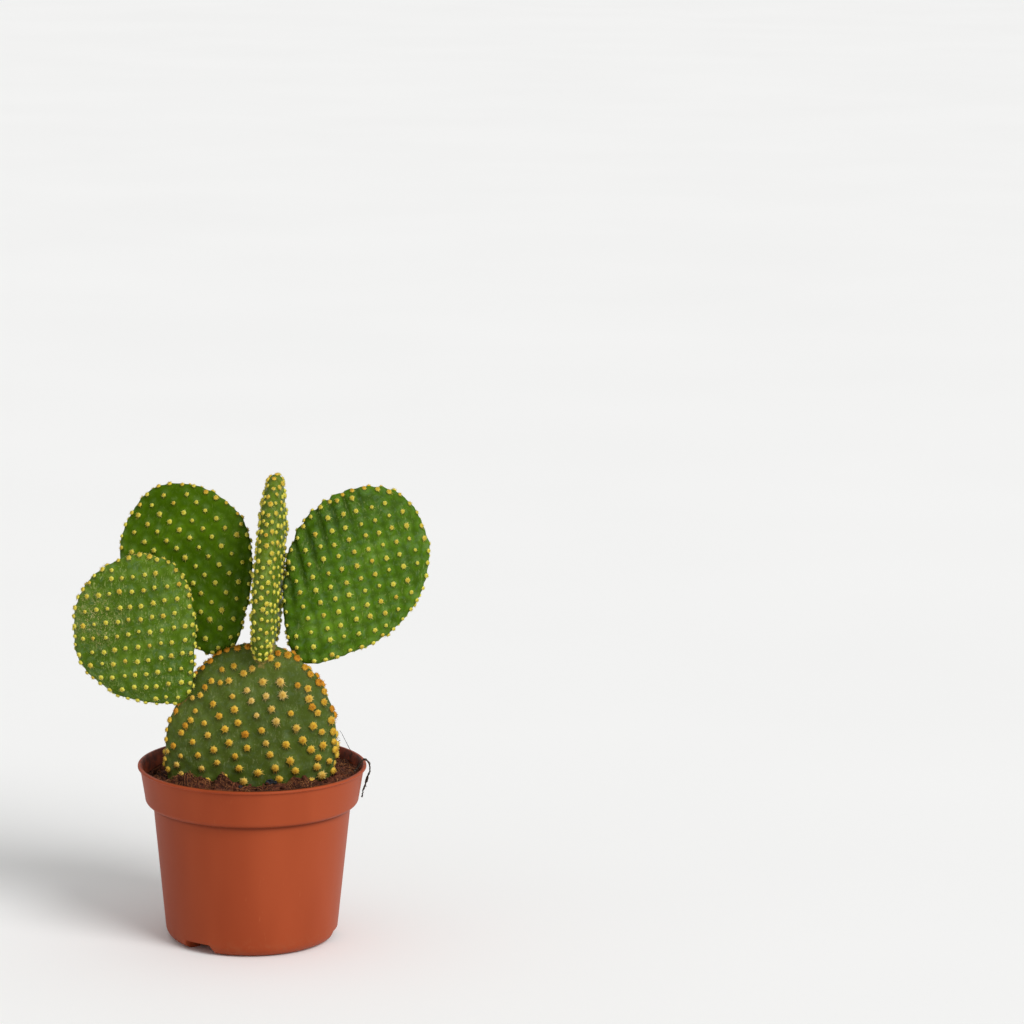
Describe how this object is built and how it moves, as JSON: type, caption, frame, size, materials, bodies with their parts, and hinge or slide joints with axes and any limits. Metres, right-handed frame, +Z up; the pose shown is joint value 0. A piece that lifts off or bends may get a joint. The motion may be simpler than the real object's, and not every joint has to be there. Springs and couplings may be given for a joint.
{
  "type": "potted bunny ears cactus",
  "caption": "Potted bunny ears cactus: an old pad in soil with younger flat pads on its rim, dotted with yellow tufts, in a terracotta-coloured grower's pot.",
  "frame": {"origin": "middle of the pot's foot ring, on the surface the pot stands on", "axes": "+Z up, +X to the right seen from the front, +Y away from the viewer, across the flat of the old pad"},
  "size_m": [0.1858, 0.12, 0.2483],
  "materials": {
    "terracotta_plastic": "satin moulded polypropylene",
    "peat": "rough and fibrous",
    "old_skin": "dull waxy skin",
    "young_skin": "velvety waxy skin",
    "tuft": "soft barbed hairs",
    "dry_root": "dry and matte"
  },
  "bodies": {
    "root": {"pot": "terracotta_plastic", "soil": "peat", "pad_main": "old_skin", "ear_front_left": "young_skin", "ear_back_left": "young_skin", "ear_middle": "young_skin", "ear_right": "young_skin", "stray_root": "dry_root"}
  },
  "joints": []
}
